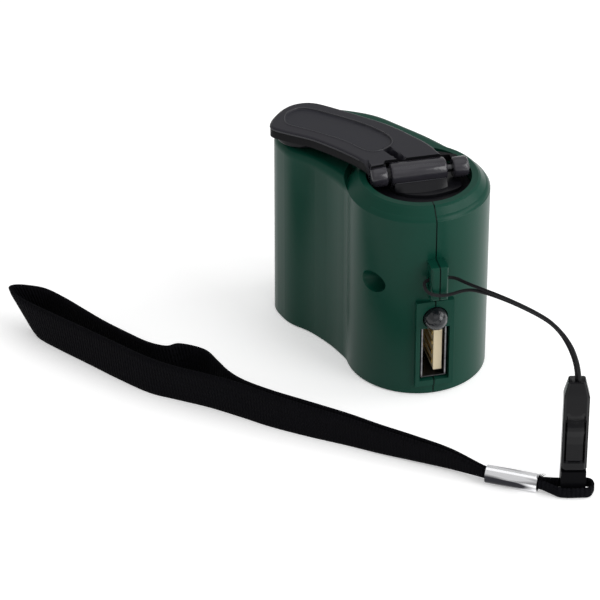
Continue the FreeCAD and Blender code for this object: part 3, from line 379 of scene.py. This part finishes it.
# Webbing bands
def smooth_line(points, steps):
    """Points on a Catmull-Rom curve through the given ones, evenly numbered."""
    result = []
    count = len(points)
    for i in range(count - 1):
        p0 = Vector(points[max(i - 1, 0)])
        p1 = Vector(points[i])
        p2 = Vector(points[i + 1])
        p3 = Vector(points[min(i + 2, count - 1)])
        for k in range(steps):
            t = k / steps
            result.append(0.5 * ((2 * p1) + (p2 - p0) * t
                                 + (2 * p0 - 5 * p1 + 4 * p2 - p3) * t * t
                                 + (3 * p1 - p0 - 3 * p2 + p3) * t ** 3))
    result.append(Vector(points[-1]))
    return result


def band(name, lows, highs, thickness, steps, material, cells=10):
    """A webbing band between two edge lines given in millimetres, with rounded edges."""
    mesh = bpy.data.meshes.new(name)
    shape = bmesh.new()
    layer = shape.loops.layers.uv.new("UVMap")
    low_line = smooth_line([(x / 1000, y / 1000, z / 1000) for x, y, z in lows], steps)
    high_line = smooth_line([(x / 1000, y / 1000, z / 1000) for x, y, z in highs], steps)
    profile = [(-1.0, k / cells) for k in range(cells + 1)]
    profile += [(1.0, k / cells) for k in range(cells, -1, -1)]
    rows = []
    runs = []
    run = 0.0
    for i, (low, high) in enumerate(zip(low_line, high_line)):
        before = max(i - 1, 0)
        after = min(i + 1, len(low_line) - 1)
        along = low_line[after] + high_line[after] - low_line[before] - high_line[before]
        side = along.cross(high - low).normalized()
        if i:
            run += ((low + high - low_line[i - 1] - high_line[i - 1]) / 2).length
        runs.append(run)
        row = []
        for edge, part in profile:
            squeeze = 1.0 - 0.45 * abs(2 * part - 1) ** 8
            stand = side * (edge * thickness / 2000 * squeeze)
            row.append(shape.verts.new(low.lerp(high, part) + stand))
        rows.append(row)
    around = len(profile)
    for i in range(len(rows) - 1):
        for k in range(around):
            n = (k + 1) % around
            face = shape.faces.new((rows[i][k], rows[i + 1][k], rows[i + 1][n], rows[i][n]))
            face.smooth = True
            spots = [(runs[i], profile[k][1]), (runs[i + 1], profile[k][1]),
                     (runs[i + 1], profile[n][1]), (runs[i], profile[n][1])]
            for loop, (u, v) in zip(face.loops, spots):
                loop[layer].uv = (u / run, v)
    shape.faces.new(rows[0][::-1])
    shape.faces.new(rows[-1])
    bmesh.ops.recalc_face_normals(shape, faces=shape.faces)
    shape.to_mesh(mesh)
    shape.free()
    mesh.materials.append(material)
    obj = bpy.data.objects.new(name, mesh)
    bpy.context.scene.collection.objects.link(obj)
    return obj, run


# Wrist strap: its lower and upper edge, from the ferrule round the far fold and back
STRAP_EDGES = [
    ((43.68, -21.6, 0.95), (43.68, -21.6, 2.95)), ((41.4, -22.2, 0.9), (41.4, -22.5, 3.2)),
    ((34.5, -24.7, 0.7), (34.5, -25.2, 5.0)), ((26.9, -28.0, 0.5), (26.9, -28.5, 5.9)),
    ((20.5, -30.8, 0.3), (20.5, -31.3, 6.6)), ((13.8, -33.4, 0.1), (13.8, -34.0, 7.3)),
    ((5.4, -37.2, 0.05), (5.4, -37.8, 8.0)), ((-2.0, -40.2, 0.05), (-2.0, -40.9, 8.6)),
    ((-8.5, -42.2, 0.05), (-8.5, -43.0, 9.0)), ((-15.8, -44.6, 0.05), (-15.8, -46.3, 9.3)),
    ((-22.6, -47.6, 0.05), (-22.6, -49.2, 9.3)), ((-28.4, -50.1, 0.05), (-29.0, -50.9, 9.3)),
    ((-36.4, -51.4, 0.05), (-36.9, -52.0, 9.3)), ((-45.0, -52.3, 0.05), (-45.5, -53.1, 9.3)),
    ((-53.2, -53.2, 0.05), (-54.0, -54.3, 9.3)), ((-59.0, -53.6, 0.05), (-60.9, -55.2, 9.3)),
    ((-61.6, -53.2, 0.3), (-65.6, -55.4, 9.35)), ((-63.3, -52.4, 1.4), (-68.4, -54.4, 9.3)),
    ((-63.4, -51.2, 1.4), (-68.6, -53.1, 9.3)), ((-61.8, -50.2, 0.3), (-66.4, -51.3, 9.4)),
    ((-58.5, -49.5, 0.05), (-62.9, -49.3, 9.35)), ((-53.5, -49.0, 0.05), (-57.5, -48.6, 9.3)),
    ((-48.5, -48.7, 0.05), (-51.0, -48.5, 9.3)), ((-43.5, -48.2, 0.05), (-45.0, -48.4, 9.3)),
    ((-37.0, -47.5, 0.05), (-38.4, -47.8, 9.3)), ((-31.6, -46.0, 0.05), (-32.6, -47.0, 9.3)),
    ((-27.8, -43.6, 0.05), (-28.7, -45.2, 9.3)), ((-24.9, -41.9, 0.05), (-27.3, -42.6, 9.4)),
    ((-21.5, -40.6, 0.05), (-22.2, -40.4, 9.4)), ((-17.5, -40.2, 0.05), (-17.2, -41.2, 9.3)),
    ((-13.3, -40.9, 0.05), (-13.0, -42.0, 9.2)), ((-8.2, -40.9, 0.05), (-8.4, -41.8, 9.1)),
    ((-2.2, -39.1, 0.05), (-2.2, -39.8, 8.7)), ((4.6, -36.1, 0.05), (4.6, -36.7, 8.1)),
    ((13.0, -32.4, 0.1), (13.0, -33.0, 7.4)), ((19.8, -29.8, 0.3), (19.8, -30.3, 6.7)),
    ((26.3, -27.0, 0.5), (26.3, -27.4, 6.0)), ((33.9, -23.9, 0.7), (33.9, -24.3, 5.1)),
    ((40.85, -21.6, 0.9), (40.85, -21.7, 3.2)), ((43.14, -20.58, 0.95), (43.14, -20.58, 2.95)),
]
strap, strap_length = band("wrist_webbing", [pair[0] for pair in STRAP_EDGES],
                           [pair[1] for pair in STRAP_EDGES], 0.9, 8, webbing)
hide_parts("wrist_strap")
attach(strap, "strap")


# End loop, in the buckle's own axes
def clip_place(x, y, z):
    return (56.2 + x * math.cos(CLIP_TURN) - y * math.sin(CLIP_TURN),
            -11.75 + x * math.sin(CLIP_TURN) + y * math.cos(CLIP_TURN), z)


LOOP = [
    (-8.4, 0.54), (-6.6, 0.56), (-3.4, 0.25), (0.0, 0.17), (2.6, 0.3), (3.7, -0.2), (3.95, -1.2),
    (3.3, -2.15), (1.8, -2.45), (-2.2, -2.45), (-4.4, -1.5), (-6.6, -0.58), (-8.4, -0.54),
]
loop_lows = []
loop_highs = []
for x, y in LOOP:
    lowered = min(max((-y - 0.8) / 1.2, 0.0), 1.0)
    floor_height = 0.97 - 0.75 * lowered
    loop_lows.append(clip_place(x, y, floor_height))
    loop_highs.append(clip_place(x, y, floor_height + 2.0 + 0.2 * lowered))
end_loop, _ = band("end_webbing", loop_lows, loop_highs, 0.8, 8, loop_web, cells=6)
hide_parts("strap_end_loop")
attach(end_loop, "strap")


# Shapes in millimetres, turned with the round end's nose
def nose(x, y, z=0.0):
    return (x * math.cos(NOSE) - y * math.sin(NOSE), x * math.sin(NOSE) + y * math.cos(NOSE), z)


def along_nose(x, y):
    return x * math.cos(NOSE) + y * math.sin(NOSE)


def piece(name, points, faces, materials, slots=None, sharp=35):
    """A mesh from points in millimetres."""
    mesh = bpy.data.meshes.new(name)
    mesh.from_pydata([(x / 1000, y / 1000, z / 1000) for x, y, z in points], [], faces)
    for material in materials:
        mesh.materials.append(material)
    if slots:
        for face, index in zip(mesh.polygons, slots):
            face.material_index = index
    shape = bmesh.new()
    shape.from_mesh(mesh)
    bmesh.ops.recalc_face_normals(shape, faces=shape.faces)
    for face in shape.faces:
        face.smooth = True
    for edge in shape.edges:
        if len(edge.link_faces) == 2:
            edge.smooth = edge.calc_face_angle(0) < math.radians(sharp)
    shape.to_mesh(mesh)
    shape.free()
    obj = bpy.data.objects.new(name, mesh)
    bpy.context.scene.collection.objects.link(obj)
    return obj


class Build:
    """Collects closed shapes that make one piece."""

    def __init__(self):
        self.points = []
        self.faces = []
        self.slots = []

    def rings(self, rings, slot=0, caps=True):
        """Skin over closed rings of equally many points."""
        start = len(self.points)
        count = len(rings[0])
        for ring in rings:
            self.points.extend(ring)
        for i in range(len(rings) - 1):
            for k in range(count):
                n = (k + 1) % count
                base = start + i * count
                self.faces.append((base + k, base + n, base + count + n, base + count + k))
                self.slots.append(slot)
        if caps:
            last = start + (len(rings) - 1) * count
            self.faces.append(tuple(range(start + count - 1, start - 1, -1)))
            self.faces.append(tuple(range(last, last + count)))
            self.slots.extend([slot, slot])

    def bead(self, line, radius, slot, closed=False, sides=8):
        """A thin ridge along a line."""
        rings = []
        count = len(line)
        for i, point in enumerate(line):
            before = Vector(line[i - 1] if closed or i else line[0])
            after = Vector(line[(i + 1) % count] if closed or i < count - 1 else line[-1])
            side = (after - before).cross(Vector((0, 0, 1))).normalized()
            rings.append([tuple(Vector(point) + radius * (math.cos(2 * math.pi * k / sides) * side
                                + math.sin(2 * math.pi * k / sides) * Vector((0, 0, 1))))
                          for k in range(sides)])
        if closed:
            rings.append(rings[0])
        self.rings(rings, slot, caps=not closed)

    def turned(self, profile, start, axis, up, sides=48, slot=0, square=2.0):
        """Rings (distance along the axis, radius) round an axis; a square above 2 flattens
        the four sides."""
        across = Vector(axis).cross(Vector(up)).normalized()
        rings = []
        for run, radius in profile:
            centre = Vector(start) + Vector(axis) * run
            ring = []
            for k in range(sides):
                rise = math.cos(2 * math.pi * k / sides)
                reach = math.sin(2 * math.pi * k / sides)
                size = radius / (abs(rise) ** square + abs(reach) ** square) ** (1 / square)
                ring.append(tuple(centre + size * (rise * Vector(up) + reach * across)))
            rings.append(ring)
        self.rings(rings, slot)


def resampled(points, count):
    """Equally spaced points along a smooth line through the given ones."""
    line = smooth_line([(x, y, 0) for x, y in points], 16)
    runs = [0.0]
    for a, b in zip(line, line[1:]):
        runs.append(runs[-1] + (b - a).length)
    result = []
    at = 0
    for i in range(count):
        want = runs[-1] * i / (count - 1)
        while at < len(line) - 2 and runs[at + 1] < want:
            at += 1
        share = (want - runs[at]) / (runs[at + 1] - runs[at])
        result.append(line[at].lerp(line[at + 1], min(max(share, 0.0), 1.0)))
    return result


def distance_to(point, line):
    best = 1e9
    for a, b in zip(line, line[1:]):
        step = b - a
        share = min(max((point - a).dot(step) / max(step.length_squared, 1e-9), 0.0), 1.0)
        best = min(best, (point - a - step * share).length_squared)
    return math.sqrt(best)


def inside(point, ring):
    result = False
    for a, b in zip(ring, ring[1:]):
        if (a.y > point.y) != (b.y > point.y):
            if point.x < (b.x - a.x) * (point.y - a.y) / (b.y - a.y) + a.x:
                result = not result
    return result


def smooth_step(value, low, high):
    share = min(max((value - low) / (high - low), 0.0), 1.0)
    return share * share * (3 - 2 * share)


# Crank arm: a moulded plate with a rounded rim, a sunk panel, a slot and two knuckles
HINGE = 45.6
BARREL_CLEARANCE = 2.55
ARM_TOP = 48.35
ARM_BOTTOM = 46.0
ARM_EDGE_ROUND = 0.55
KNOB_BOSS = (-29.2, -5.4)
RIBS = (-20.9, -14.4)
ARM_FRONT = [
    (-34.5, -4.6), (-34.25, -6.6), (-33.1, -9.9), (-31.8, -12.0), (-30.3, -12.9), (-27.4, -12.1),
    (-24.4, -10.9), (-21.5, -9.85), (-18.4, -9.25), (-15.1, -8.8), (-11.6, -8.5), (-9.1, -8.45),
    (-7.5, -8.55), (-6.35, -8.75), (-5.2, -9.35),
]
ARM_BACK = [
    (-34.5, -4.6), (-34.35, -2.9), (-33.2, -0.6), (-31.2, 1.0), (-27.8, 2.2), (-23.8, 3.35),
    (-19.1, 4.6), (-15.5, 5.5), (-11.6, 6.0), (-8.0, 6.1), (-5.0, 6.2), (-2.1, 5.9), (1.3, 5.1),
]
ARM_HINGE = [nose(0.3, -10.7)[:2], nose(-0.1, -7.6)[:2], nose(-1.5, -6.9)[:2],
             nose(-1.5, 5.05)[:2]]
PANEL = [
    (-31.5, -8.2), (-32.6, -6.4), (-32.4, -3.6), (-30.1, -1.6), (-24.5, 0.3), (-18.7, 1.9),
    (-13.9, 2.5), (-10.4, 2.1), (-8.4, 0.4), (-8.2, -2.4), (-9.1, -4.5), (-11.2, -5.4),
    (-14.7, -5.6), (-17.9, -6.1), (-24.2, -7.9), (-27.9, -9.3), (-29.8, -9.5), (-31.5, -8.2),
]
SLOT = (Vector((-7.9, -1.5, 0)), Vector((-2.4, -2.2, 0)))
ROWS = 170
COLUMNS = 60


def straight(points, share):
    """A point on straight runs, by share of their whole length."""
    lengths = [(Vector(b) - Vector(a)).length for a, b in zip(points, points[1:])]
    want = share * sum(lengths)
    for a, b, length in zip(points, points[1:], lengths):
        if want <= length:
            return Vector((*a, 0)).lerp(Vector((*b, 0)), want / length)
        want -= length
    return Vector((*points[-1], 0))


def arm_grid():
    front = resampled(ARM_FRONT, ROWS)
    back = resampled(ARM_BACK, ROWS)
    shares = [0.5 - 0.5 * math.cos(math.pi * (0.15 + 0.7 * k / COLUMNS))
              for k in range(COLUMNS + 1)]
    shares = [(s - shares[0]) / (shares[-1] - shares[0]) for s in shares]
    grid = []
    for i in range(1, ROWS):
        pull = smooth_step(i / (ROWS - 1), 0.72, 1.0)
        row = []
        for share in shares:
            plain = front[i].lerp(back[i], share)
            bent = straight(ARM_HINGE, share) - front[-1].lerp(back[-1], share)
            row.append(plain + bent * pull)
        grid.append(row)
    return grid, front, back


def arm_top(point, rim, panel):
    """Height of the top, and whether the point lies in the sunk panel."""
    edge = distance_to(point, rim)
    drop = 0.0
    if edge < ARM_EDGE_ROUND:
        drop = ARM_EDGE_ROUND - math.sqrt(ARM_EDGE_ROUND ** 2 - (ARM_EDGE_ROUND - edge) ** 2)
    near = distance_to(point, panel)
    within = inside(point, panel)
    if within:
        drop += 0.28 * smooth_step(near, 0.0, 0.3)
    else:
        drop -= 0.05 * (1 - smooth_step(near, 0.0, 0.35))
    step = SLOT[1] - SLOT[0]
    share = min(max((point - SLOT[0]).dot(step) / step.length_squared, 0.0), 1.0)
    away = (point - SLOT[0] - step * share).length
    drop += 1.5 * (1 - smooth_step(away, 0.6, 0.85))
    return ARM_TOP - drop, within and near > 0.1


def arm_underside(point, rim, hinge_x):
    """Height of the underside: clear of the hub's barrel, hollow further out, with ribs."""
    height = ARM_BOTTOM
    if abs(hinge_x) < BARREL_CLEARANCE:
        height = max(height, HINGE + math.sqrt(BARREL_CLEARANCE ** 2 - hinge_x ** 2))
    if hinge_x < -9.5:
        edge = distance_to(point, rim)
        hollow = 1.45 * smooth_step(edge, 1.3, 1.5)
        boss = math.hypot(point.x - KNOB_BOSS[0], point.y - KNOB_BOSS[1])
        hollow *= smooth_step(boss, 1.9, 2.1)
        for rib in RIBS:
            hollow *= smooth_step(abs(point.x - rib), 0.5, 0.7)
        height += hollow
    return height


def crank_arm():
    grid, front, back = arm_grid()
    rim = back[::-4] + front[::4] + [front[-1]]
    panel = resampled(PANEL, 90)
    build = Build()
    width = len(grid[0])
    tops = []
    lows = []
    for row in grid:
        for point in row:
            hinge_x = along_nose(point.x, point.y)
            height, within = arm_top(point, rim, panel)
            low = arm_underside(point, rim, hinge_x)
            hinge_y = point.y * math.cos(NOSE) - point.x * math.sin(NOSE)
            if hinge_y < -10.2 and hinge_x > -2.6:
                # Thinned corner, which passes over the well's rim when the arm is open
                low = ARM_BOTTOM
                height = min(height, HINGE + 0.66 - 0.84 * hinge_x)
            tops.append((point.x, point.y, max(height, low + 0.25), within))
            lows.append((point.x, point.y, low))
    build.points = [t[:3] for t in tops] + lows
    shift = len(tops)
    rows = len(grid)
    for i in range(rows - 1):
        for k in range(width - 1):
            a = i * width + k
            quad = (a, a + 1, a + width + 1, a + width)
            build.faces.append(quad)
            build.slots.append(1 if all(tops[q][3] for q in quad) else 0)
            build.faces.append(tuple(q + shift for q in reversed(quad)))
            build.slots.append(2)
    # Underside and side walls take the darker black: painted shade
    border = list(range(width))
    border += [i * width + width - 1 for i in range(1, rows)]
    border += [(rows - 1) * width + k for k in range(width - 2, -1, -1)]
    border += [i * width for i in range(rows - 2, 0, -1)]
    for a, b in zip(border, border[1:] + border[:1]):
        build.faces.append((b, a, a + shift, b + shift))
        build.slots.append(2)
    # Beads round the sunk panel and along the rim's front edge, in the lighter black: painted
    # highlight lines
    build.bead([(p.x, p.y, ARM_TOP - 0.02) for p in panel[:-1]], 0.13, 4, closed=True)
    edge = [(p.x, p.y, ARM_TOP - 0.42) for p in back[-12::-5] + front[1:-17:5]]
    build.bead(edge, 0.14, 4)
    # Knuckles, in the lighter glossy black: painted sheen
    for side, begin, end in ((1, 7.05, 10.35), (-1, 6.95, 10.4)):
        away = nose(0, side)
        run = end - begin
        profile = [(0, 0.95), (0, 1.95), (0.12, 2.12), (0.3, 2.2), (run - 0.7, 2.2),
                   (run - 0.35, 2.1), (run - 0.1, 1.85), (run, 1.5), (run, 0.3)]
        start = Vector(nose(0, side * begin)) + Vector((0, 0, HINGE))
        build.turned(profile, start, away, (0, 0, 1), slot=3)
    # Blocks beside the knuckles, in the darker black: painted shade
    for corners, top in ((((-4.6, 3.4), (-2.6, 3.4), (-2.5, 7.1), (-0.2, 7.15), (-0.2, 8.6),
                           (-2.2, 8.5), (-4.0, 5.6)), 47.3),
                         (((-3.6, -10.2), (0.0, -10.2), (0.0, -7.0), (-3.6, -7.0)), 48.0)):
        build.rings([[nose(x, y, z) for x, y in corners]
                     for z in (ARM_BOTTOM - 0.2, ARM_BOTTOM + 0.4, top - 0.3, top)], 2)
    return piece("arm_shell", build.points, build.faces,
                 [arm_black, inlay_black, shaded_skirt_black, sheen_lit_gloss_black, painted_highlight_black], build.slots)


arm = crank_arm()
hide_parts("crank_arm", "arm_inlay")
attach(arm, "arm")


# Crank hub: disc, raised lip, sloped foot and the hinge barrel
def crank_hub():
    build = Build()
    build.turned([(0, 10.6), (0.15, 10.75), (1.85, 10.75), (2.05, 10.68), (2.1, 10.5), (2.1, 0.5)],
                 (0, 0, 40.3), (0, 0, 1), (1, 0, 0), sides=96)
    lip = [(-3.6, -6.2), (-0.6, -6.2), (2.2, -5.6), (4.2, -3.6), (5.3, -0.8), (5.6, 1.6),
           (5.1, 4.6), (4.1, 7.4), (2.4, 8.6), (-3.0, 8.6)]
    outline = resampled(lip, 60)
    centre = Vector((0.8, 0.8, 0))
    rings = []
    for z, inset in ((42.2, 0.0), (43.0, 0.0), (43.15, 0.06), (43.2, 0.22)):
        ring = []
        for point in outline:
            away = (point - centre).normalized() * inset
            ring.append(nose(point.x - away.x, point.y - away.y, z))
        rings.append(ring)
    build.rings(rings)
    wedge = []
    for along, reach in ((-5.7, 2.9), (-5.2, 3.3), (-3.6, 4.0), (-1.2, 4.4), (1.2, 4.4), (3.0, 4.1),
                         (4.6, 3.7), (5.3, 3.3)):
        wedge.append([nose(-2.2, along, 43.1), nose(reach, along, 43.1), nose(reach, along, 43.25),
                      nose(2.48, along, 44.7), nose(2.36, along, 44.8), nose(2.33, along, 45.7),
                      nose(-2.2, along, 45.7)])
    build.rings(wedge)
    # Hinge barrel, in the lighter glossy black: painted sheen
    profile = [(0, 0.9), (0, 1.85), (0.08, 2.12), (0.25, 2.3), (0.5, 2.4), (11.3, 2.4),
               (11.55, 2.32), (11.75, 2.15), (11.88, 1.85), (11.9, 0.9)]
    build.turned(profile, nose(0, -6.2, HINGE), nose(0, 1), (0, 0, 1), slot=1, square=2.25)
    build.turned([(0, 0.85), (0, 1.7), (0.7, 1.7), (0.7, 0.85)], nose(0, -6.85, HINGE), nose(0, 1),
                 (0, 0, 1))
    # Thin beads in the lighter black along the barrel and the foot: painted highlight lines
    for x, z, begin, end in ((-1.32, 47.62, -5.7, 5.2), (1.05, 47.75, -4.6, 4.9),
                             (2.42, 44.82, -5.4, 5.2)):
        build.bead([nose(x, begin, z), nose(x, 0.0, z), nose(x, end, z)], 0.1, 2)
    return piece("hub_shell", build.points, build.faces, [black, sheen_lit_gloss_black, painted_highlight_black],
                 build.slots)


hub = crank_hub()
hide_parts("crank_hub")
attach(hub, "crank")


# Buckle body: a thin-walled moulding with a sprung lever in its front
CLIP_LOW = 6.3
CLIP_SHOULDER = 23.8
CLIP_TOP = 27.4
CLIP_DEPTH = 1.72
CHANNEL = (1.4, 1.2, 20.0)
CLIP_SPREAD = 0.85
CLIP_BACK = ((1.0, 0.6), (0.97, 0.85), (0.88, 1.0), (0.4, 1.0), (-0.4, 1.0), (-0.88, 1.0),
             (-0.97, 0.85), (-1.0, 0.6))


def ramp(value, stops):
    """Straight runs between (place, height) stops."""
    for (a, low), (b, high) in zip(stops, stops[1:]):
        if value <= b:
            return low + (high - low) * min(max((value - a) / (b - a), 0.0), 1.0)
    return stops[-1][1]


def clip_front(x, z, half):
    """How far the front stands out of the middle plane."""
    edge = abs(x) / half
    depth = CLIP_DEPTH - 0.5 * smooth_step(edge, 0.72, 1.0)
    depth -= 0.4 * smooth_step(z, 24.2, CLIP_TOP)
    valley = 18.3 + 0.22 * abs(x)
    if 8.2 < z < valley + 1.4:
        lever = ramp(z, [(8.2, 1.55), (9.2, 1.45), (12.4, 1.34), (14.6, 1.75), (16.2, 2.2),
                         (17.0, 2.22), (17.7, 1.95), (valley, 1.38), (valley + 1.2, 1.7)])
        middle = 1 - smooth_step(abs(x), 1.7, 1.85)
        lever -= 0.12 * smooth_step(abs(x), 0.9, 1.7)
        depth = depth * (1 - middle) + lever * middle
    if 8.3 < z < valley - 0.1:
        gap = smooth_step(abs(x), 1.66, 1.78) * (1 - smooth_step(abs(x), 1.98, 2.1))
        depth -= 0.7 * gap * (1 - smooth_step(z, valley - 0.5, valley - 0.1))
    if abs(x) < 2.05:
        depth -= 0.5 * max(0.0, 1 - abs(z - 8.25) / 0.22)
    return depth


def clip_body():
    outer = []
    cells = 44
    levels = [CLIP_LOW, 6.33, 6.42, 6.6] + [6.8 + 0.2 * i for i in range(102)]
    levels += [27.25, 27.36, CLIP_TOP]
    for z in levels:
        half = ramp(z, [(CLIP_LOW, 2.6), (CLIP_SHOULDER, 2.6), (CLIP_TOP, 1.7)])
        shrink = 0.12 * max(0.0, 1 - (z - CLIP_LOW) / 0.3)
        shrink += 0.12 * max(0.0, 1 - (CLIP_TOP - z) / 0.15)
        half -= shrink
        ring = []
        for k in range(cells + 1):
            x = half * math.sin(math.pi / 2 * (2 * k / cells - 1) * CLIP_SPREAD)
            x /= math.sin(math.pi / 2 * CLIP_SPREAD)
            ring.append((x, -clip_front(x, z, half) + shrink, z))
        back = CLIP_DEPTH - 0.4 * smooth_step(z, 24.2, CLIP_TOP) - shrink
        for x, y in CLIP_BACK:
            ring.append((x * half, y * back, z))
        outer.append(ring)
    wide, deep, end = CHANNEL
    inner = [[(min(max(x, -wide), wide), deep if y > 0 else -deep, z) for x, y, _ in outer[0]]
             for z in (end, CLIP_LOW)]
    build = Build()
    build.rings([[clip_place(*point) for point in ring] for ring in inner + outer])
    return piece("clip_shell", build.points, build.faces, [gloss_clip], build.slots, sharp=50)


clip = clip_body()
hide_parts("clip_housing")
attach(clip, "housing")


# Frayed threads of the webbing's cut end, beside the ferrule
def frayed_end():
    build = Build()
    for k in range(9):
        turn = k * 2.4
        lean = 0.25 + 0.16 * (k % 3)
        start = Vector((51.3 + 0.12 * math.cos(turn), -16.9 + 0.25 * math.sin(turn), 2.9))
        way = Vector((lean * math.cos(turn) + 0.5, lean * math.sin(turn) + 0.2, 0.75)).normalized()
        size = 1.1 + 0.35 * (k % 4)
        build.turned([(0, 0.16), (size * 0.5, 0.11), (size, 0.02)], start, way,
                     way.orthogonal().normalized(), sides=6)
    return piece("frayed_end", build.points, build.faces, [loop_web], build.slots)


fray = frayed_end()
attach(fray, "strap")
